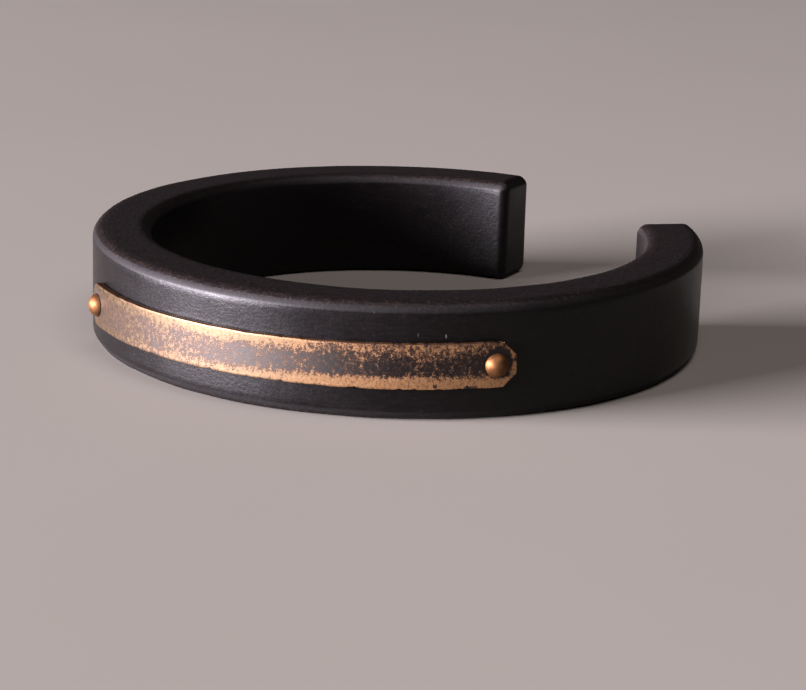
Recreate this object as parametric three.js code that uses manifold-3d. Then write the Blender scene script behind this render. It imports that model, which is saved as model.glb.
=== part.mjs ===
// A wooden cuff bracelet with a riveted bronze strip, lying on one of its flat sides.
//
// Millimetres, +Z up. The origin is on the wrist axis, in the plane that the cuff lies on.
// Angles are in degrees, counter-clockwise from +X as seen from above. The strip is at the
// front, towards -Y, and the gap that the wrist passes through is behind, to the right.

import * as THREE from 'three';
import { mergeVertices } from 'three/addons/utils/BufferGeometryUtils.js';
import Module from 'manifold-3d';

const wasm = await Module();
wasm.setup();

// The band
const OUTER_RADIUS = 36;
const WALL = 6.9;
const HEIGHT = 13;
const GAP_FROM = 11.3;
const GAP_TO = 62;
const EDGE_ROUND = 1.2; // along the four long edges
const END_ROUND = 1.1; // round the face at each end
const BAND_STEPS = 78;

// The strip
const STRIP_WIDTH = 5.0;
const STRIP_THICKNESS = 0.8;
const STRIP_FROM = -160.2;
const STRIP_TO = -69.2;
const STRIP_BELOW_MIDDLE = 0.15; // at the front end
const STRIP_DIP = 0.3; // how much lower the side end sits than the front end
const STRIP_EDGE_ROUND = 0.12;
const STRIP_STEPS = 24;
const CORNER_CLIP = 1.5;
const SEAT_GAP = 0.05; // between pieces that lie on each other

// The rivets
const RIVET_FROM_END = 2.25;
const HEAD_RADIUS = 1.35;
const HEAD_HEIGHT = 1.0;
const SHANK_RADIUS = 0.6;
const SHANK_DEPTH = 3.5; // below the band's outer wall
const HOLE_CLEARANCE = 0.1; // round the shank and below its end

const strip_inside = OUTER_RADIUS + SEAT_GAP;
const strip_outside = strip_inside + STRIP_THICKNESS;
const strip_middle_radius = (strip_inside + strip_outside) / 2;
const head_seat = strip_outside + SEAT_GAP;
const rivet_turn = THREE.MathUtils.radToDeg(RIVET_FROM_END / strip_outside);

/** A rectangle with rounded corners, x being the distance from the wrist axis and y the height. */
function sectionShape(inside, outside, bottom, top, round) {
  const quarter = Math.PI / 2;
  const shape = new THREE.Shape();
  shape.absarc(outside - round, bottom + round, round, -quarter, 0);
  shape.absarc(outside - round, top - round, round, 0, quarter);
  shape.absarc(inside + round, top - round, round, quarter, 2 * quarter);
  shape.absarc(inside + round, bottom + round, round, 2 * quarter, 3 * quarter);
  return shape;
}

/** Bends a bar extruded along z into an arc round the wrist axis, clockwise from a start angle. */
function bendClockwise(geometry, startDegrees, degreesPerUnit) {
  const position = geometry.attributes.position;
  for (let i = 0; i < position.count; i++) {
    const radius = position.getX(i);
    const height = position.getY(i);
    const angle = THREE.MathUtils.degToRad(startDegrees - position.getZ(i) * degreesPerUnit);
    position.setXYZ(i, radius * Math.cos(angle), radius * Math.sin(angle), height);
  }
  return geometry;
}

/** The height of the strip's middle at an angle: it drops evenly from the front end to the side end. */
function stripHeight(degrees) {
  const share = (STRIP_TO - degrees) / (STRIP_TO - STRIP_FROM);
  return HEIGHT / 2 - STRIP_BELOW_MIDDLE - STRIP_DIP * share;
}

/** A frame on the outer wall with x pointing away from the wrist axis, y round the band and z up. */
function wallFrame(degrees, radius, height) {
  const angle = THREE.MathUtils.degToRad(degrees);
  const turn = new THREE.Matrix4().makeRotationZ(angle);
  const away = new THREE.Matrix4().makeTranslation(radius, 0, height);
  return turn.multiply(away);
}

/** The manifold solid of a closed geometry. */
function toSolid(geometry) {
  const bare = geometry.clone();
  bare.deleteAttribute('normal');
  bare.deleteAttribute('uv');
  const merged = mergeVertices(bare, 1e-5);
  const vertProperties = new Float32Array(merged.attributes.position.array);
  const triVerts = new Uint32Array(merged.index.array);
  return new wasm.Manifold(new wasm.Mesh({ numProp: 3, vertProperties, triVerts }));
}

/** The geometry of a manifold solid. */
function toGeometry(solid) {
  const mesh = solid.getMesh();
  const geometry = new THREE.BufferGeometry();
  geometry.setAttribute('position', new THREE.Float32BufferAttribute(mesh.vertProperties, 3));
  geometry.setIndex(Array.from(mesh.triVerts));
  geometry.computeVertexNormals();
  return geometry;
}

/** A rivet's hole, wider and deeper than its shank, from inside the wood to beyond the strip. */
function rivetHole(degrees) {
  const radius = SHANK_RADIUS + HOLE_CLEARANCE;
  const depth = SHANK_DEPTH + HOLE_CLEARANCE;
  const length = depth + 2 * STRIP_THICKNESS;
  const hole = new THREE.CylinderGeometry(radius, radius, length, 20);
  hole.rotateZ(Math.PI / 2);
  hole.translate(length / 2 - depth, 0, 0);
  hole.applyMatrix4(wallFrame(degrees, OUTER_RADIUS, stripHeight(degrees)));
  return toSolid(hole);
}

/** The band: a rounded bar bent into a C, with a blind hole for each rivet. */
function bandGeometry(rivetAngles) {
  const arc = 360 - (GAP_TO - GAP_FROM);
  const middle_radius = OUTER_RADIUS - WALL / 2;
  const length = THREE.MathUtils.degToRad(arc) * middle_radius;
  const section = sectionShape(OUTER_RADIUS - WALL, OUTER_RADIUS, 0, HEIGHT, EDGE_ROUND);
  const bar = new THREE.ExtrudeGeometry(section, {
    depth: length - 2 * END_ROUND,
    steps: BAND_STEPS,
    curveSegments: 2,
    bevelThickness: END_ROUND,
    bevelSize: END_ROUND,
    bevelOffset: -END_ROUND,
    bevelSegments: 4,
  });
  bar.translate(0, 0, END_ROUND);
  let solid = toSolid(bendClockwise(bar, GAP_FROM + 360, arc / length));
  for (const degrees of rivetAngles) solid = solid.subtract(rivetHole(degrees));
  return toGeometry(solid);
}

/** The strip: a thin bar bent to the outer wall, its corners clipped and its ends drilled. */
function stripGeometry(rivetAngles) {
  const arc = STRIP_TO - STRIP_FROM;
  const length = THREE.MathUtils.degToRad(arc) * strip_middle_radius;
  const half = STRIP_WIDTH / 2;
  const section = sectionShape(strip_inside, strip_outside, -half, half, STRIP_EDGE_ROUND);
  const bar = new THREE.ExtrudeGeometry(section, {
    depth: length,
    steps: STRIP_STEPS,
    curveSegments: 1,
    bevelEnabled: false,
  });
  const position = bar.attributes.position;
  for (let i = 0; i < position.count; i++) {
    const degrees = STRIP_TO - (position.getZ(i) / length) * arc;
    position.setY(i, position.getY(i) + stripHeight(degrees));
  }
  let solid = toSolid(bendClockwise(bar, STRIP_TO, arc / length));
  for (const degrees of [STRIP_FROM, STRIP_TO]) {
    for (const side of [-half, half]) {
      const edge = CORNER_CLIP * Math.SQRT2;
      const clip = new THREE.BoxGeometry(4 * STRIP_THICKNESS, edge, edge);
      clip.rotateX(Math.PI / 4);
      clip.applyMatrix4(wallFrame(degrees, strip_middle_radius, stripHeight(degrees) + side));
      solid = solid.subtract(toSolid(clip));
    }
  }
  for (const degrees of rivetAngles) solid = solid.subtract(rivetHole(degrees));
  return toGeometry(solid);
}

/** A rivet along +Y with the underside of its head at y = 0: a plain shank under a low dome. */
function rivetGeometry() {
  const shank_end = OUTER_RADIUS - SHANK_DEPTH - head_seat;
  const dome_radius = (HEAD_RADIUS ** 2 + HEAD_HEIGHT ** 2) / (2 * HEAD_HEIGHT);
  const rim_angle = Math.asin(HEAD_RADIUS / dome_radius);
  const dome_steps = 8;
  const profile = [
    new THREE.Vector2(0, shank_end),
    new THREE.Vector2(SHANK_RADIUS, shank_end),
    new THREE.Vector2(SHANK_RADIUS, 0),
  ];
  for (let i = 0; i < dome_steps; i++) {
    const angle = rim_angle * (1 - i / dome_steps);
    const height = HEAD_HEIGHT - dome_radius * (1 - Math.cos(angle));
    profile.push(new THREE.Vector2(dome_radius * Math.sin(angle), height));
  }
  profile.push(new THREE.Vector2(0, HEAD_HEIGHT));
  return new THREE.LatheGeometry(profile, 28);
}

const ebony = new THREE.MeshStandardMaterial({ color: 0x1b1517, roughness: 0.5, metalness: 0 });
const aged_bronze = new THREE.MeshStandardMaterial({ color: 0x8a5f3f, roughness: 0.5, metalness: 1 });
const polished_bronze = new THREE.MeshStandardMaterial({ color: 0xb98a5c, roughness: 0.3, metalness: 1 });

const rivet_angles = { rivet_front: STRIP_TO - rivet_turn, rivet_side: STRIP_FROM + rivet_turn };

const cuff = new THREE.Group();

const band = new THREE.Mesh(bandGeometry(Object.values(rivet_angles)), ebony);
band.name = 'cuff_band';
cuff.add(band);

const strip = new THREE.Mesh(stripGeometry(Object.values(rivet_angles)), aged_bronze);
strip.name = 'bronze_strip';
cuff.add(strip);

for (const [name, degrees] of Object.entries(rivet_angles)) {
  const rivet = new THREE.Mesh(rivetGeometry(), polished_bronze);
  const angle = THREE.MathUtils.degToRad(degrees);
  rivet.name = name;
  rivet.position.set(head_seat * Math.cos(angle), head_seat * Math.sin(angle), stripHeight(degrees));
  rivet.rotation.z = angle - Math.PI / 2;
  cuff.add(rivet);
}

export default cuff;
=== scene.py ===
"""A rigid wooden cuff bracelet with a curved bronze strip riveted along its outer wall."""

from math import atan2, cos, pi, radians, sin

import bmesh
import bpy
from mathutils import Matrix, Vector, noise


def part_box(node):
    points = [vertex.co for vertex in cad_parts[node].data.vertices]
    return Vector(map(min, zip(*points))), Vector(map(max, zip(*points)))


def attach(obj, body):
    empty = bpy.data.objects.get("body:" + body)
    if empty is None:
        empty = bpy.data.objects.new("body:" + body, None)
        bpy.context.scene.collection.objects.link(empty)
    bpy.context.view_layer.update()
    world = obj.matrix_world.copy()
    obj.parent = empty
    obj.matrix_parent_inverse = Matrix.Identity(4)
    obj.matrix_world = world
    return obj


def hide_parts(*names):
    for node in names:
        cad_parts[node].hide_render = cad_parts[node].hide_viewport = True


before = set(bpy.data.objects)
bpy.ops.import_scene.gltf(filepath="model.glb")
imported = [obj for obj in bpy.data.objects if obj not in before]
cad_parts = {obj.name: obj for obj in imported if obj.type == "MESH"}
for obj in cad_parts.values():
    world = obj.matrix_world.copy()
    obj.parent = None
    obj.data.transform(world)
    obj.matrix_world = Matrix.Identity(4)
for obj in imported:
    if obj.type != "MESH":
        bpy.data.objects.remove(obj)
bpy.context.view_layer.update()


# The band
#
# One piece of ebony, sawn from a plank as a ring with a gap for the wrist to pass. Its walls
# are turned and rubbed with oil, its two flat sides are only sanded, and every edge is eased
# by hand, so none is quite even.

mm = 0.001
band_low, band_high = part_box("cuff_band")
band_outside = (band_high.x - band_low.x) / 2
band_height = band_high.z - band_low.z
band_wall = 6.9 * mm
gap_from = radians(11.3)
gap_to = radians(62)
edge_round = 1.2 * mm
end_round = 1.05 * mm
end_stretch = 1.25  # the length kept for an end's round, in its radii
end_inset = 0.05 * mm
round_steps = 6
band_step = 0.55 * mm  # between the band's rings, and between the lines along it
hollows_deep = 0.05 * mm
hollows_apart = 9 * mm
eased_deep = 0.16 * mm
eased_apart = 5 * mm


def flat_section(bm, inside, outside, bottom, top, angle):
    """An upright rectangle across the wall at an angle round the wrist axis."""
    place = (
        Matrix.Rotation(angle, 4, "Z")
        @ Matrix.Translation(((inside + outside) / 2, 0, (bottom + top) / 2))
        @ Matrix.Rotation(pi / 2, 4, "X")
        @ Matrix.Diagonal((outside - inside, top - bottom, 1, 1))
    )
    bmesh.ops.create_grid(bm, x_segments=1, y_segments=1, size=0.5, matrix=place)


def sweep(bm, section, arc, steps, rise=0.0):
    """Sweeps a section face round the wrist axis and returns the face at the far end."""
    swept = bmesh.ops.spin(
        bm,
        geom=[section, *section.edges, *section.verts],
        cent=(0, 0, 0),
        axis=(0, 0, 1),
        dvec=(0, 0, rise / steps),
        angle=arc,
        steps=steps,
        use_merge=False,
        use_normal_flip=False,
        use_duplicate=False,
    )
    return next(f for f in swept["geom_last"] if isinstance(f, bmesh.types.BMFace))


def cut_long_edges(bm, longest):
    """Cuts a section's long straight edges into even lengths."""
    for edge in [e for e in bm.edges if e.calc_length() > 1.5 * longest]:
        cuts = round(edge.calc_length() / longest) - 1
        bmesh.ops.subdivide_edges(bm, edges=[edge], cuts=cuts)


def make_piece(bm, name, node):
    """Makes a piece that stands for a CAD node, with its place in its mesh."""
    mesh = bpy.data.meshes.new(name)
    bm.to_mesh(mesh)
    bm.free()
    mesh.shade_smooth()
    piece = bpy.data.objects.new(name, mesh)
    bpy.context.scene.collection.objects.link(piece)
    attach(piece, "root")
    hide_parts(node)
    return piece


bm = bmesh.new()
flat_section(bm, band_outside - band_wall, band_outside, 0, band_height, gap_to)
bmesh.ops.bevel(
    bm, geom=bm.verts[:], offset=edge_round, offset_type="OFFSET", segments=round_steps,
    profile=0.5, affect="VERTICES", material=-1,
)
cut_long_edges(bm, band_step)

end_arc = end_stretch * end_round / (band_outside - band_wall)
middle_arc = 2 * pi - (gap_to - gap_from) - 2 * end_arc
bm.faces.ensure_lookup_table()
first_end = bm.faces[0]
section = sweep(bm, first_end, end_arc, 1)
section = sweep(bm, section, middle_arc, round(middle_arc * band_outside / band_step))
section = sweep(bm, section, end_arc, 1)

ends = [f for f in bm.faces if len(f.verts) > 4]
bmesh.ops.bevel(
    bm, geom=[e for f in ends for e in f.edges], offset=end_round, offset_type="OFFSET",
    segments=round_steps, profile=0.5, affect="EDGES", material=-1,
)
ends = [f for f in bm.faces if len(f.verts) > 4]
bmesh.ops.inset_region(bm, faces=ends, thickness=end_inset, use_even_offset=True)
bmesh.ops.recalc_face_normals(bm, faces=bm.faces[:])
bm.normal_update()

# The material tells the sanded flat sides from the rubbed walls by this, from 0 to 1
side_starts = 0.2
side_blends = 0.5
sanded = bm.verts.layers.float.new("sanded_side")
for vert in bm.verts:
    upright = abs(vert.normal.z)
    vert[sanded] = min(1, max(0, (upright - side_starts) / side_blends))

# Shallow hollows all over, and edges eased more in some places than in others
for vert in bm.verts:
    upright = abs(vert.normal.z)
    eased = 2 * upright * (1 - upright ** 2) ** 0.5
    hollow = 0.5 + 0.5 * noise.noise(vert.co / hollows_apart)
    ease = 0.5 + 0.5 * noise.noise(vert.co / eased_apart + Vector((5, 0, 0)))
    vert.co -= vert.normal * (hollow * hollows_deep + eased * ease * eased_deep)
lift = -min(v.co.z for v in bm.verts)
bmesh.ops.translate(bm, verts=bm.verts[:], vec=(0, 0, lift))

band = make_piece(bm, "ebony_band", "cuff_band")


def colour(code):
    """The linear colour of an sRGB hex code."""
    shares = [int(code[i : i + 2], 16) / 255 for i in (0, 2, 4)]
    linear = [s / 12.92 if s <= 0.04045 else ((s + 0.055) / 1.055) ** 2.4 for s in shares]
    return (*linear, 1)


def add(tree, kind, settings, sockets):
    """Adds a shader node. A socket is given a value, or another node's output to be linked."""
    added = tree.nodes.new("ShaderNode" + kind)
    for name, value in settings.items():
        setattr(added, name, value)
    for name, value in sockets.items():
        if isinstance(value, bpy.types.NodeSocket):
            tree.links.new(value, added.inputs[name])
        else:
            added.inputs[name].default_value = value
    return added


# Ebony, oiled and rubbed: near black, with faint brown fibres along the plank. The walls have
# a satin gloss that takes a broad soft sheen, with a few specks of dust, and the sanded sides
# are duller, with open brown pores.
ebony = bpy.data.materials.new("oiled ebony")
ebony.use_nodes = True
tree = ebony.node_tree
shader = tree.nodes["Principled BSDF"]
place = add(tree, "TexCoord", {}, {}).outputs["Object"]
side = add(tree, "Attribute", {"attribute_name": "sanded_side"}, {}).outputs["Fac"]

# Fibres 0.3 mm apart and about 2 mm long, pores 0.4 mm apart, and slow cloudiness. Real pores
# are nearer 0.1 mm, and these are drawn coarser, so that they show.
along = add(
    tree, "Mapping", {},
    {"Vector": place, "Scale": (1 / (1.8 * mm), 1 / (0.3 * mm), 1 / (0.3 * mm))},
).outputs[0]
fibres = add(
    tree, "TexNoise", {}, {"Vector": along, "Scale": 1.0, "Detail": 4.0, "Roughness": 0.65}
).outputs[0]
pores = add(
    tree, "TexNoise", {}, {"Vector": place, "Scale": 1 / (0.42 * mm), "Detail": 3.0, "Roughness": 0.7}
).outputs[0]
clouds = add(
    tree, "TexNoise", {}, {"Vector": place, "Scale": 1 / (6 * mm), "Detail": 2.0, "Roughness": 0.5}
).outputs[0]
fibre_share = add(
    tree, "MapRange", {"interpolation_type": "SMOOTHSTEP"},
    {"Value": fibres, "From Min": 0.42, "From Max": 0.66},
).outputs[0]
pore_share = add(
    tree, "MapRange", {"interpolation_type": "SMOOTHSTEP"},
    {"Value": pores, "From Min": 0.52, "From Max": 0.68},
).outputs[0]
dust_share = add(
    tree, "MapRange", {"interpolation_type": "SMOOTHSTEP"},
    {"Value": pores, "From Min": 0.69, "From Max": 0.77},
).outputs[0]

wall_colour = add(
    tree, "Mix", {"data_type": "RGBA"}, {0: fibre_share, 6: colour("030202"), 7: colour("080505")}
).outputs[2]
wall_colour = add(
    tree, "Mix", {"data_type": "RGBA"}, {0: dust_share, 6: wall_colour, 7: colour("322B2D")}
).outputs[2]
dull_colour = add(
    tree, "Mix", {"data_type": "RGBA"}, {0: fibre_share, 6: colour("040202"), 7: colour("0F0907")}
).outputs[2]
dull_colour = add(
    tree, "Mix", {"data_type": "RGBA"}, {0: pore_share, 6: dull_colour, 7: colour("1D130F")}
).outputs[2]
wood_colour = add(
    tree, "Mix", {"data_type": "RGBA"}, {0: side, 6: wall_colour, 7: dull_colour}
).outputs[2]

# Two small pale chips above the strip, each about half a millimetre tall
for chip_angle, chip_height, paleness in ((-81.3, 9.42 * mm, 0.7), (-86.0, 9.6 * mm, 0.25)):
    chip_angle = radians(chip_angle)
    chip_place = Vector((cos(chip_angle), sin(chip_angle), 0)) * band_outside
    chip_place.z = chip_height
    away = add(tree, "VectorMath", {"operation": "SUBTRACT"}, {0: place, 1: chip_place}).outputs[0]
    away = add(
        tree, "VectorMath", {"operation": "MULTIPLY"},
        {0: away, 1: (1 / (0.1 * mm), 1 / (0.8 * mm), 1 / (0.3 * mm))},
    ).outputs[0]
    away = add(tree, "VectorMath", {"operation": "LENGTH"}, {0: away}).outputs["Value"]
    away = add(tree, "Math", {"operation": "ADD"}, {0: away, 1: pores}).outputs[0]
    chip_share = add(
        tree, "MapRange", {"interpolation_type": "SMOOTHSTEP"},
        {"Value": away, "From Min": 0.9, "From Max": 1.5, "To Min": paleness, "To Max": 0.0},
    ).outputs[0]
    wood_colour = add(
        tree, "Mix", {"data_type": "RGBA"}, {0: chip_share, 6: wood_colour, 7: colour("5C5652")}
    ).outputs[2]
tree.links.new(wood_colour, shader.inputs["Base Color"])

rubbed = add(
    tree, "MapRange", {}, {"Value": clouds, "From Min": 0.3, "From Max": 0.7, "To Min": 0.33, "To Max": 0.39}
).outputs[0]
roughness = add(tree, "Mix", {"data_type": "FLOAT"}, {0: side, 2: rubbed, 3: 0.5}).outputs[0]
# The eased edges between wall and side are duller than either
not_side = add(tree, "Math", {"operation": "SUBTRACT"}, {0: 1.0, 1: side}).outputs[0]
edge_share = add(tree, "Math", {"operation": "MULTIPLY"}, {0: side, 1: not_side}).outputs[0]
edge_share = add(
    tree, "MapRange", {}, {"Value": edge_share, "From Min": 0.0, "From Max": 0.12}
).outputs[0]
roughness = add(
    tree, "Mix", {"data_type": "FLOAT"}, {0: edge_share, 2: roughness, 3: 0.7}
).outputs[0]
roughness = add(tree, "Math", {"operation": "MULTIPLY_ADD"}, {0: pores, 1: 0.16, 2: roughness}).outputs[0]
roughness = add(tree, "Math", {"operation": "SUBTRACT"}, {0: roughness, 1: 0.08}).outputs[0]
tree.links.new(roughness, shader.inputs["Roughness"])

relief = add(tree, "Math", {"operation": "MULTIPLY_ADD"}, {0: side, 1: 0.62, 2: 0.38}).outputs[0]
grain = add(tree, "Math", {"operation": "MULTIPLY_ADD"}, {0: pores, 1: 1.3, 2: fibres}).outputs[0]
grain = add(tree, "Math", {"operation": "MULTIPLY"}, {0: grain, 1: relief}).outputs[0]
bump = add(tree, "Bump", {}, {"Height": grain, "Strength": 1.0, "Distance": 0.045 * mm}).outputs[0]
tree.links.new(bump, shader.inputs["Normal"])
shader.inputs["IOR"].default_value = 1.5
shader.inputs["Specular IOR Level"].default_value = 0.2
band.data.materials.append(ebony)


# The strip
#
# A flat bronze bar bent round the outer wall, a little off level, with its four corners cut
# off. Its edges were filed and rubbed bright, and the middle keeps a dark patina.

wall_radius = 36 * mm
strip_gap = 0.05 * mm  # between the strip and the wood
strip_thick = 0.8 * mm
strip_wide = 5.0 * mm
strip_from = radians(-160.2)
strip_to = radians(-69.2)
strip_below_middle = 0.15 * mm
strip_dip = 0.3 * mm
corner_clip = 1.5 * mm
strip_step = 0.3 * mm
filed_edge = 0.12 * mm
sharp_angle = radians(30)
cut_reach = 0.001 * mm
wander_apart = 4 * mm
wander_deep = 0.1 * mm
nick_apart = 0.8 * mm
nick_deep = 0.45 * mm
nick_above = 0.4  # how deep the upper edge's nicks are beside the lower edge's

strip_inside = wall_radius + strip_gap
strip_outside = strip_inside + strip_thick
strip_arc = strip_to - strip_from
strip_long = strip_arc * strip_outside
strip_middle = band_height / 2 - strip_below_middle


def strip_height(angle):
    """The height of the strip's middle line at an angle round the wrist axis."""
    return strip_middle - strip_dip * (strip_to - angle) / strip_arc


bm = bmesh.new()
low_end = strip_height(strip_from)
flat_section(
    bm, strip_inside, strip_outside, low_end - strip_wide / 2, low_end + strip_wide / 2, strip_from
)
cut_long_edges(bm, strip_step)
bm.faces.ensure_lookup_table()
sweep(bm, bm.faces[0], strip_arc, round(strip_long / strip_step), strip_dip)
for angle, along_way in ((strip_from, -1), (strip_to, 1)):
    tangent = Vector((-sin(angle), cos(angle), 0)) * along_way
    for up in (-1, 1):
        corner = Vector((cos(angle), sin(angle), 0)) * strip_outside
        corner.z = strip_height(angle) + up * strip_wide / 2
        cut = bmesh.ops.bisect_plane(
            bm,
            geom=bm.verts[:] + bm.edges[:] + bm.faces[:],
            dist=cut_reach,
            plane_co=corner - tangent * corner_clip,
            plane_no=tangent + Vector((0, 0, up)),
            clear_outer=True,
        )
        rim = [e for e in cut["geom_cut"] if isinstance(e, bmesh.types.BMEdge)]
        bmesh.ops.holes_fill(bm, edges=rim)
bmesh.ops.recalc_face_normals(bm, faces=bm.faces[:])
sharp = [e for e in bm.edges if e.calc_face_angle(0) > sharp_angle]
bmesh.ops.bevel(
    bm, geom=sharp, offset=filed_edge, offset_type="OFFSET", segments=3, profile=0.5,
    affect="EDGES", material=-1,
)
bmesh.ops.recalc_face_normals(bm, faces=bm.faces[:])
# On a thin bent bar the operator can settle on the inside, and the volume tells
if bm.calc_volume(signed=True) < 0:
    bmesh.ops.reverse_faces(bm, faces=bm.faces[:])
bm.normal_update()

# The filed long edges wander a little and have small nicks, deeper ones below
for vert in bm.verts:
    angle = atan2(vert.co.y, vert.co.x)
    along_edge = angle * strip_outside
    above = vert.co.z - strip_height(angle)
    near_edge = max(0, (abs(above) - 0.3 * strip_wide) / (0.2 * strip_wide))
    wander = noise.noise((along_edge / wander_apart, above * 100, 0)) * wander_deep
    nick = max(0, noise.noise((along_edge / nick_apart, above * 100, 9)) - 0.25) * nick_deep
    nick *= 1 if above < 0 else nick_above
    inward = -1 if above > 0 else 1
    vert.co.z += near_edge * inward * (abs(wander) + nick)

# The patina follows the strip by this map, in millimetres from its side end and its middle
followed = bm.loops.layers.uv.new("along_strip")
for face in bm.faces:
    for loop in face.loops:
        angle = atan2(loop.vert.co.y, loop.vert.co.x)
        across = loop.vert.co.z - strip_height(angle)
        loop[followed].uv = ((angle - strip_from) * strip_outside / mm, across / mm)

strip = make_piece(bm, "bronze_wall_strip", "bronze_strip")

# Bronze, darkened and then rubbed back: warm satin metal shows along the edges and in a ragged
# net of flecks, over a smooth waxed patina. A thin grey film dulls both towards the side end,
# where painted shade darkens them further.
aged_bronze = bpy.data.materials.new("rubbed patinated bronze")
aged_bronze.use_nodes = True
tree = aged_bronze.node_tree
shader = tree.nodes["Principled BSDF"]
followed_place = add(tree, "UVMap", {"uv_map": "along_strip"}, {}).outputs[0]
way = add(tree, "SeparateXYZ", {}, {"Vector": followed_place})
u, v = way.outputs[0], way.outputs[1]

rivet_from_end = 2.25 * mm
long_mm = strip_long / mm
half_mm = strip_wide / 2 / mm

from_top = add(tree, "Math", {"operation": "SUBTRACT"}, {0: half_mm, 1: v}).outputs[0]
from_bottom = add(tree, "Math", {"operation": "ADD"}, {0: half_mm, 1: v}).outputs[0]
from_front = add(tree, "Math", {"operation": "SUBTRACT"}, {0: long_mm, 1: u}).outputs[0]
from_end = add(tree, "Math", {"operation": "MINIMUM"}, {0: u, 1: from_front}).outputs[0]
nearest_edge = add(tree, "Math", {"operation": "MINIMUM"}, {0: from_top, 1: from_bottom}).outputs[0]

# Ragged flecks, ticks across the strip, slow changes, and thin lines that wander among them
ragged = add(
    tree, "TexNoise", {"noise_dimensions": "2D"},
    {"Vector": followed_place, "Scale": 1.9, "Detail": 6.0, "Roughness": 0.76},
).outputs[0]
upright = add(tree, "Mapping", {}, {"Vector": followed_place, "Scale": (3.0, 1.2, 1)}).outputs[0]
ticks = add(
    tree, "TexNoise", {"noise_dimensions": "2D"},
    {"Vector": upright, "Scale": 1.0, "Detail": 3.0, "Roughness": 0.6},
).outputs[0]
slow = add(
    tree, "TexNoise", {"noise_dimensions": "2D"},
    {"Vector": followed_place, "Scale": 0.3, "Detail": 1.0, "Roughness": 0.5},
).outputs[0]
winding = add(
    tree, "TexNoise", {"noise_dimensions": "2D"},
    {"Vector": followed_place, "Scale": 1.7, "Detail": 3.0, "Roughness": 0.6},
).outputs[0]
winding = add(tree, "Math", {"operation": "SUBTRACT"}, {0: winding, 1: 0.5}).outputs[0]
winding = add(tree, "Math", {"operation": "ABSOLUTE"}, {0: winding}).outputs[0]
lines = add(
    tree, "MapRange", {"interpolation_type": "SMOOTHSTEP"},
    {"Value": winding, "From Min": 0.0, "From Max": 0.05, "To Min": 0.3, "To Max": 0.0},
).outputs[0]

# How far each place was rubbed, before the flecks break it up
low_band = add(
    tree, "MapRange", {},
    {"Value": from_bottom, "From Min": 0.7, "From Max": 1.7, "To Min": 0.85, "To Max": 0.0},
).outputs[0]
low_worn = add(
    tree, "MapRange", {"interpolation_type": "SMOOTHSTEP"},
    {"Value": u, "From Min": 0.2 * long_mm, "From Max": 0.65 * long_mm, "To Min": 0.55, "To Max": 1.0},
).outputs[0]
low_band = add(tree, "Math", {"operation": "MULTIPLY"}, {0: low_band, 1: low_worn}).outputs[0]
top_worn = add(
    tree, "MapRange", {"interpolation_type": "SMOOTHSTEP"},
    {"Value": u, "From Min": 0.5 * long_mm, "From Max": 0.7 * long_mm, "To Min": 0.8, "To Max": 0.34},
).outputs[0]
top_band = add(
    tree, "MapRange", {}, {"Value": from_top, "From Min": 0.5, "From Max": 2.0, "To Min": 1.0, "To Max": 0.0}
).outputs[0]
top_band = add(tree, "Math", {"operation": "MULTIPLY"}, {0: top_band, 1: top_worn}).outputs[0]
end_band = add(
    tree, "MapRange", {}, {"Value": from_end, "From Min": 0.5, "From Max": 1.3, "To Min": 0.9, "To Max": 0.0}
).outputs[0]
middle_worn = add(
    tree, "MapRange", {"interpolation_type": "SMOOTHSTEP"},
    {"Value": u, "From Min": 0.25 * long_mm, "From Max": 0.75 * long_mm, "To Min": 0.34, "To Max": -0.05},
).outputs[0]
worn = add(tree, "Math", {"operation": "MAXIMUM"}, {0: low_band, 1: top_band}).outputs[0]
worn = add(tree, "Math", {"operation": "MAXIMUM"}, {0: worn, 1: end_band}).outputs[0]
worn = add(tree, "Math", {"operation": "MAXIMUM"}, {0: worn, 1: middle_worn}).outputs[0]
worn = add(tree, "Math", {"operation": "MULTIPLY_ADD"}, {0: ragged, 1: 1.7, 2: worn}).outputs[0]
worn = add(tree, "Math", {"operation": "MULTIPLY_ADD"}, {0: ticks, 1: 0.5, 2: worn}).outputs[0]
worn = add(tree, "Math", {"operation": "MULTIPLY_ADD"}, {0: slow, 1: 0.5, 2: worn}).outputs[0]
worn = add(tree, "Math", {"operation": "ADD"}, {0: worn, 1: lines}).outputs[0]

# Dark rings where each rivet keeps the cloth off, wider above and towards the front
for rivet_u in (rivet_from_end / mm, long_mm - rivet_from_end / mm):
    away = add(
        tree, "VectorMath", {"operation": "DISTANCE"}, {0: followed_place, 1: (rivet_u + 0.15, 0.3, 0)}
    ).outputs["Value"]
    kept = add(
        tree, "MapRange", {"interpolation_type": "SMOOTHSTEP"},
        {"Value": away, "From Min": 1.2, "From Max": 1.95, "To Min": 0.75, "To Max": 0.0},
    ).outputs[0]
    worn = add(tree, "Math", {"operation": "SUBTRACT"}, {0: worn, 1: kept}).outputs[0]
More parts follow.
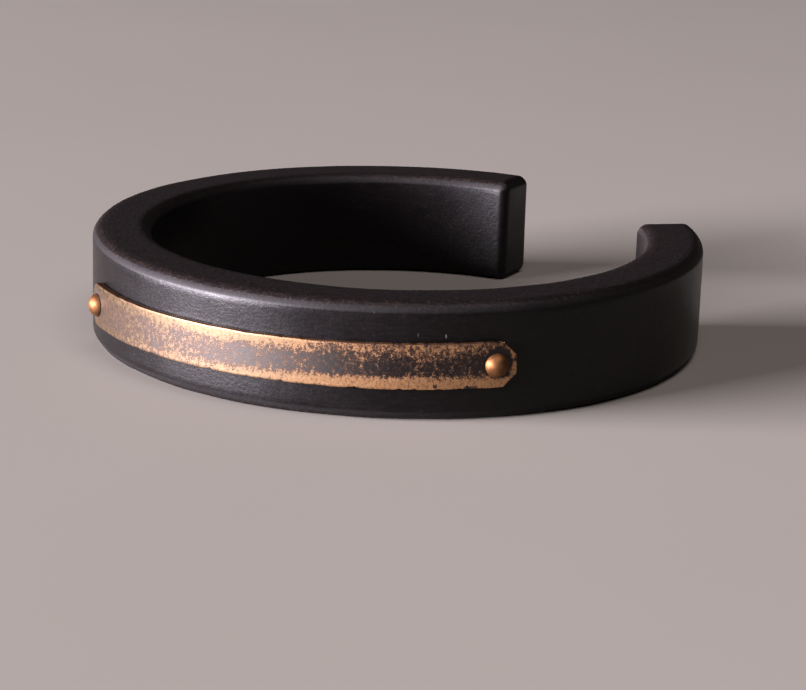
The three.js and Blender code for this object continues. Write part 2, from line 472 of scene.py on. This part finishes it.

# Dark stains, given one by one: two on the lower edge, and one at the front end beside the rivet
stains = (
    # from the front end, above the middle, half length, half height
    (5.2, -2.3, 0.9, 0.3),
    (8.9, -2.1, 0.3, 0.35),
    (0.1, 0.6, 0.3, 0.5),
)
for back, above, half_long, half_high in stains:
    away = add(
        tree, "VectorMath", {"operation": "SUBTRACT"}, {0: followed_place, 1: (long_mm - back, above, 0)}
    ).outputs[0]
    away = add(
        tree, "VectorMath", {"operation": "MULTIPLY"}, {0: away, 1: (1 / half_long, 1 / half_high, 0)}
    ).outputs[0]
    away = add(tree, "VectorMath", {"operation": "LENGTH"}, {0: away}).outputs["Value"]
    stained = add(
        tree, "MapRange", {"interpolation_type": "SMOOTHSTEP"},
        {"Value": away, "From Min": 0.2, "From Max": 1.5, "To Min": 0.85, "To Max": 0.0},
    ).outputs[0]
    worn = add(tree, "Math", {"operation": "SUBTRACT"}, {0: worn, 1: stained}).outputs[0]
bright = add(
    tree, "MapRange", {"interpolation_type": "SMOOTHSTEP"},
    {"Value": worn, "From Min": 1.7, "From Max": 2.02},
).outputs[0]
browned = add(
    tree, "MapRange", {"interpolation_type": "SMOOTHSTEP"},
    {"Value": worn, "From Min": 1.42, "From Max": 1.76},
).outputs[0]

# The grey film along the strip, and the colours under it
film_along = add(
    tree, "MapRange", {"interpolation_type": "SMOOTHSTEP"},
    {"Value": u, "From Min": 0.48 * long_mm, "From Max": 0.8 * long_mm, "To Min": 0.95, "To Max": 0.0},
).outputs[0]
patina = add(
    tree, "Mix", {"data_type": "RGBA"}, {0: slow, 6: colour("110B08"), 7: colour("130F0E")}
).outputs[2]
patina = add(
    tree, "Mix", {"data_type": "RGBA"}, {0: film_along, 6: patina, 7: colour("3A3734")}
).outputs[2]
oxide = add(
    tree, "Mix", {"data_type": "RGBA"}, {0: browned, 6: patina, 7: colour("3D291C")}
).outputs[2]
metal = add(
    tree, "Mix", {"data_type": "RGBA"}, {0: ticks, 6: colour("966B46"), 7: colour("BA946D")}
).outputs[2]

# Small brown spots all over the bright metal, and the film over it too
spots = add(
    tree, "TexNoise", {"noise_dimensions": "2D"},
    {"Vector": followed_place, "Scale": 3.6, "Detail": 3.0, "Roughness": 0.65},
).outputs[0]
spot_share = add(
    tree, "MapRange", {"interpolation_type": "SMOOTHSTEP"},
    {"Value": spots, "From Min": 0.5, "From Max": 0.72, "To Min": 0.0, "To Max": 0.75},
).outputs[0]
metal = add(
    tree, "Mix", {"data_type": "RGBA"}, {0: spot_share, 6: metal, 7: colour("593B26")}
).outputs[2]
film_across = add(
    tree, "MapRange", {"interpolation_type": "SMOOTHSTEP"},
    {"Value": nearest_edge, "From Min": 0.4, "From Max": 1.5, "To Min": 0.9, "To Max": 1.0},
).outputs[0]
film_share = add(tree, "Math", {"operation": "MULTIPLY"}, {0: film_along, 1: film_across}).outputs[0]
metal = add(
    tree, "Mix", {"data_type": "RGBA"}, {0: film_share, 6: metal, 7: colour("524839")}
).outputs[2]
# The filed upper edge is a darker brown: painted shade that dims the highlight the lamps put along it
upper_edge_shade = add(
    tree, "MapRange", {},
    {"Value": from_top, "From Min": 0.05, "From Max": 0.2, "To Min": 0.75, "To Max": 0.0},
).outputs[0]
metal = add(
    tree, "Mix", {"data_type": "RGBA"}, {0: upper_edge_shade, 6: metal, 7: colour("4A2F1B")}
).outputs[2]
surface = add(tree, "Mix", {"data_type": "RGBA"}, {0: bright, 6: oxide, 7: metal}).outputs[2]

# Near the side end the film is thicker, and patchy; this darker colour is also painted shade, dimming that
# end where the lamp lights it brightest
end_film_and_shade = add(
    tree, "MapRange", {"interpolation_type": "SMOOTHSTEP"},
    {"Value": u, "From Min": 0.05 * long_mm, "From Max": 0.5 * long_mm, "To Min": 0.5, "To Max": 0.0},
).outputs[0]
end_patches = add(
    tree, "MapRange", {"interpolation_type": "SMOOTHSTEP"},
    {"Value": ragged, "From Min": 0.38, "From Max": 0.6, "To Min": 1.5, "To Max": 0.5},
).outputs[0]
end_film_and_shade = add(tree, "Math", {"operation": "MULTIPLY"}, {0: end_film_and_shade, 1: end_patches}).outputs[0]
surface = add(
    tree, "Mix", {"data_type": "RGBA"}, {0: end_film_and_shade, 6: surface, 7: colour("2A2118")}
).outputs[2]
tree.links.new(surface, shader.inputs["Base Color"])
metallic = add(tree, "Mix", {"data_type": "FLOAT"}, {0: bright, 2: 0.3, 3: 1.0}).outputs[0]
tree.links.new(metallic, shader.inputs["Metallic"])
dullness = add(tree, "Mix", {"data_type": "FLOAT"}, {0: bright, 2: 0.38, 3: 0.48}).outputs[0]
dull = add(tree, "Math", {"operation": "MULTIPLY_ADD"}, {0: ragged, 1: 0.2, 2: dullness}).outputs[0]
dull = add(tree, "Math", {"operation": "SUBTRACT"}, {0: dull, 1: 0.1}).outputs[0]
tree.links.new(dull, shader.inputs["Roughness"])
height = add(tree, "Math", {"operation": "MULTIPLY_ADD"}, {0: bright, 1: -0.5, 2: ragged}).outputs[0]
bump = add(tree, "Bump", {}, {"Height": height, "Strength": 0.5, "Distance": 0.016 * mm})
tree.links.new(bump.outputs[0], shader.inputs["Normal"])
shader.inputs["Specular IOR Level"].default_value = 0.35
strip.data.materials.append(aged_bronze)


# The rivets
#
# Two bronze pins with domed heads hold the strip, one near each end. Each is driven into a
# blind hole in the wood, and its head is peened by hand and rubbed smooth.

head_radius = 1.35 * mm
head_height = 1.0 * mm
shank_radius = 0.6 * mm
shank_depth = 3.5 * mm
head_gap = 0.05 * mm
head_seat = strip_outside + head_gap
dome_radius = (head_radius ** 2 + head_height ** 2) / (2 * head_height)
rivet_turn = rivet_from_end / strip_outside


def on_wall(angle, radius):
    """A place on the wall where Z points away from the wrist axis."""
    return (
        Matrix.Translation((0, 0, strip_height(angle)))
        @ Matrix.Rotation(angle, 4, "Z")
        @ Matrix.Translation((radius, 0, 0))
        @ Matrix.Rotation(pi / 2, 4, "Y")
    )


# Bronze, peened and rubbed to a satin: golden brown, with small soft dents and patches of dark
# oxide.
polished_bronze = bpy.data.materials.new("peened satin bronze")
polished_bronze.use_nodes = True
tree = polished_bronze.node_tree
shader = tree.nodes["Principled BSDF"]
place = add(tree, "TexCoord", {}, {}).outputs["Object"]
oxide_patches = add(
    tree, "TexNoise", {}, {"Vector": place, "Scale": 1 / (0.8 * mm), "Detail": 4.0, "Roughness": 0.6}
).outputs[0]
oxide_share = add(
    tree, "MapRange", {"interpolation_type": "SMOOTHSTEP"},
    {"Value": oxide_patches, "From Min": 0.42, "From Max": 0.62, "To Min": 0.0, "To Max": 0.5},
).outputs[0]
rubbed_colour = add(
    tree, "Mix", {"data_type": "RGBA"}, {0: oxide_share, 6: colour("6C4A2E"), 7: colour("342015")}
).outputs[2]
tree.links.new(rubbed_colour, shader.inputs["Base Color"])
shader.inputs["Metallic"].default_value = 1.0
rivet_dull = add(tree, "Math", {"operation": "MULTIPLY_ADD"}, {0: oxide_patches, 1: 0.2, 2: 0.46}).outputs[0]
tree.links.new(rivet_dull, shader.inputs["Roughness"])
bump = add(tree, "Bump", {}, {"Height": oxide_patches, "Strength": 0.8, "Distance": 0.06 * mm})
tree.links.new(bump.outputs[0], shader.inputs["Normal"])

for name, angle in (("front", strip_to - rivet_turn), ("side", strip_from + rivet_turn)):
    bm = bmesh.new()
    bmesh.ops.create_uvsphere(bm, u_segments=48, v_segments=40, radius=dome_radius)
    cut = bmesh.ops.bisect_plane(
        bm,
        geom=bm.verts[:] + bm.edges[:] + bm.faces[:],
        dist=cut_reach,
        plane_co=(0, 0, dome_radius - head_height),
        plane_no=(0, 0, -1),
        clear_outer=True,
    )
    rim = [e for e in cut["geom_cut"] if isinstance(e, bmesh.types.BMEdge)]
    under = bmesh.ops.holes_fill(bm, edges=rim)["faces"]
    bmesh.ops.inset_region(bm, faces=under, thickness=head_radius - shank_radius)
    shank = bmesh.ops.extrude_face_region(bm, geom=under)["geom"]
    shank_end = [v for v in shank if isinstance(v, bmesh.types.BMVert)]
    bmesh.ops.delete(bm, geom=under, context="FACES_ONLY")
    reach = head_seat - wall_radius + shank_depth
    bmesh.ops.translate(bm, verts=shank_end, vec=(0, 0, -reach))
    bmesh.ops.recalc_face_normals(bm, faces=bm.faces[:])
    bmesh.ops.transform(
        bm, verts=bm.verts[:],
        matrix=on_wall(angle, head_seat) @ Matrix.Translation((0, 0, head_height - dome_radius)),
    )
    rivet = make_piece(bm, "bronze_rivet_" + name, "rivet_" + name)
    rivet.data.materials.append(polished_bronze)


# The table
#
# A plain table top in matt grey paint, which the strong lamp brings up to a pale tone.

table_half = 0.8
bm = bmesh.new()
bmesh.ops.create_grid(bm, x_segments=1, y_segments=1, size=table_half)
table_mesh = bpy.data.meshes.new("table_top")
bm.to_mesh(table_mesh)
bm.free()
table = bpy.data.objects.new("table_top", table_mesh)
bpy.context.scene.collection.objects.link(table)

matt_paint = bpy.data.materials.new("matt grey paint")
matt_paint.use_nodes = True
tree = matt_paint.node_tree
shader = tree.nodes["Principled BSDF"]
place = add(tree, "TexCoord", {}, {}).outputs["Object"]
brushed = add(tree, "TexNoise", {}, {"Vector": place, "Scale": 12.0, "Detail": 3.0}).outputs[0]
paint = add(
    tree, "Mix", {"data_type": "RGBA"}, {0: brushed, 6: colour("7B7870"), 7: colour("807D75")}
).outputs[2]
tree.links.new(paint, shader.inputs["Base Color"])
shader.inputs["Roughness"].default_value = 0.9
shader.inputs["Specular IOR Level"].default_value = 0.0
table.data.materials.append(matt_paint)


# The light
#
# One large, strong, soft lamp to the left, a weak one high in front, and a dim even room.

band_middle = Vector((0, 0, band_height / 2))


def soft_lamp(name, azimuth, elevation, distance, wide, high, power, tint):
    """An oblong lamp that faces the bracelet. Azimuth 0 is in front and -90 to the left."""
    turn = radians(azimuth)
    rise = radians(elevation)
    away = Vector((sin(turn) * cos(rise), -cos(turn) * cos(rise), sin(rise)))
    lamp_data = bpy.data.lights.new(name, "AREA")
    lamp_data.shape = "RECTANGLE"
    lamp_data.size = wide
    lamp_data.size_y = high
    lamp_data.energy = power
    lamp_data.color = colour(tint)[:3]
    lamp = bpy.data.objects.new(name, lamp_data)
    lamp.location = band_middle + away * distance
    lamp.rotation_mode = "QUATERNION"
    lamp.rotation_quaternion = away.to_track_quat("Z", "Y")
    bpy.context.scene.collection.objects.link(lamp)


soft_lamp(
    "window_lamp", azimuth=-71, elevation=8.5, distance=3.0, wide=2.0, high=0.71,
    power=1050, tint="FBF1FF",
)
soft_lamp(
    "overhead_lamp", azimuth=25, elevation=62, distance=0.7, wide=0.4, high=0.4,
    power=2.8, tint="FFF2F6",
)

room = bpy.data.worlds.new("room")
room.use_nodes = True
bpy.context.scene.world = room
background = room.node_tree.nodes["Background"]
background.inputs["Color"].default_value = colour("B6ABAE")
background.inputs["Strength"].default_value = 0.09
bpy.context.scene.view_settings.view_transform = "Standard"


# The camera
#
# It looks a little down on the front of the cuff, from about 0.3 m, and is turned a touch.

camera_distance = 294.2 * mm
camera_rise = radians(15.8)
camera_roll = radians(1.73)
camera_aside = 0.71 * mm
camera_above = -7.91 * mm
ahead = Vector((0, cos(camera_rise), -sin(camera_rise)))
level_up = Vector((0, sin(camera_rise), cos(camera_rise)))
level_right = Vector((1, 0, 0))
right = cos(camera_roll) * level_right + sin(camera_roll) * level_up
up = cos(camera_roll) * level_up - sin(camera_roll) * level_right

camera_data = bpy.data.cameras.new("camera")
camera_data.sensor_width = 36
camera_data.lens = 110.3
camera_data.clip_start = 0.01
camera_data.clip_end = 10
camera = bpy.data.objects.new("camera", camera_data)
turned = Matrix((right, up, -ahead)).transposed().to_4x4()
place = band_middle - ahead * camera_distance + right * camera_aside + up * camera_above
camera.matrix_world = Matrix.Translation(place) @ turned
bpy.context.scene.collection.objects.link(camera)
bpy.context.scene.camera = camera
